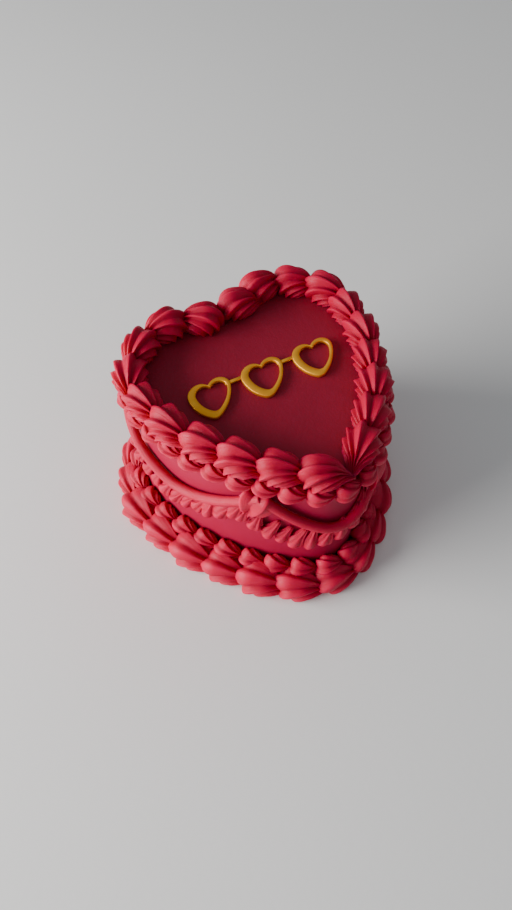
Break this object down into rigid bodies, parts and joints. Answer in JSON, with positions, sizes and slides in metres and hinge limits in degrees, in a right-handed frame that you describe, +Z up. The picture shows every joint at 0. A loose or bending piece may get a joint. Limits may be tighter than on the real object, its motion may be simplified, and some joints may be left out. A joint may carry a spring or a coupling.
{
  "type": "heart-shaped bento cake",
  "caption": "Small heart-shaped celebration cake in smooth red buttercream, with piped shell borders, rope swags, ruffles and a flat gold heart ornament on top.",
  "frame": {"origin": "middle of the whole cake's outline, on the surface that it stands on", "axes": "+Z up, -Y toward the heart's point, +Y toward its cleft, +X to the right seen from the point"},
  "size_m": [0.1566, 0.1492, 0.0966],
  "materials": {
    "icing": "smooth satin buttercream",
    "piping": "star-piped satin buttercream",
    "gold": "satin gold card"
  },
  "bodies": {
    "root": {"cake_body": "icing", "rim_border": "piping", "under_rim_border": "piping", "drop_front_left": "piping", "drop_side_left": "piping", "drop_cleft": "piping", "drop_side_right": "piping", "drop_front_right": "piping", "swag_left": "piping", "ruffle_left": "piping", "swag_back_left": "piping", "ruffle_back_left": "piping", "swag_back_right": "piping", "ruffle_back_right": "piping", "swag_right": "piping", "ruffle_right": "piping", "swag_front": "piping", "ruffle_front": "piping", "foot_border": "piping", "ledge_border": "piping", "gold_ornament": "gold"}
  },
  "joints": []
}
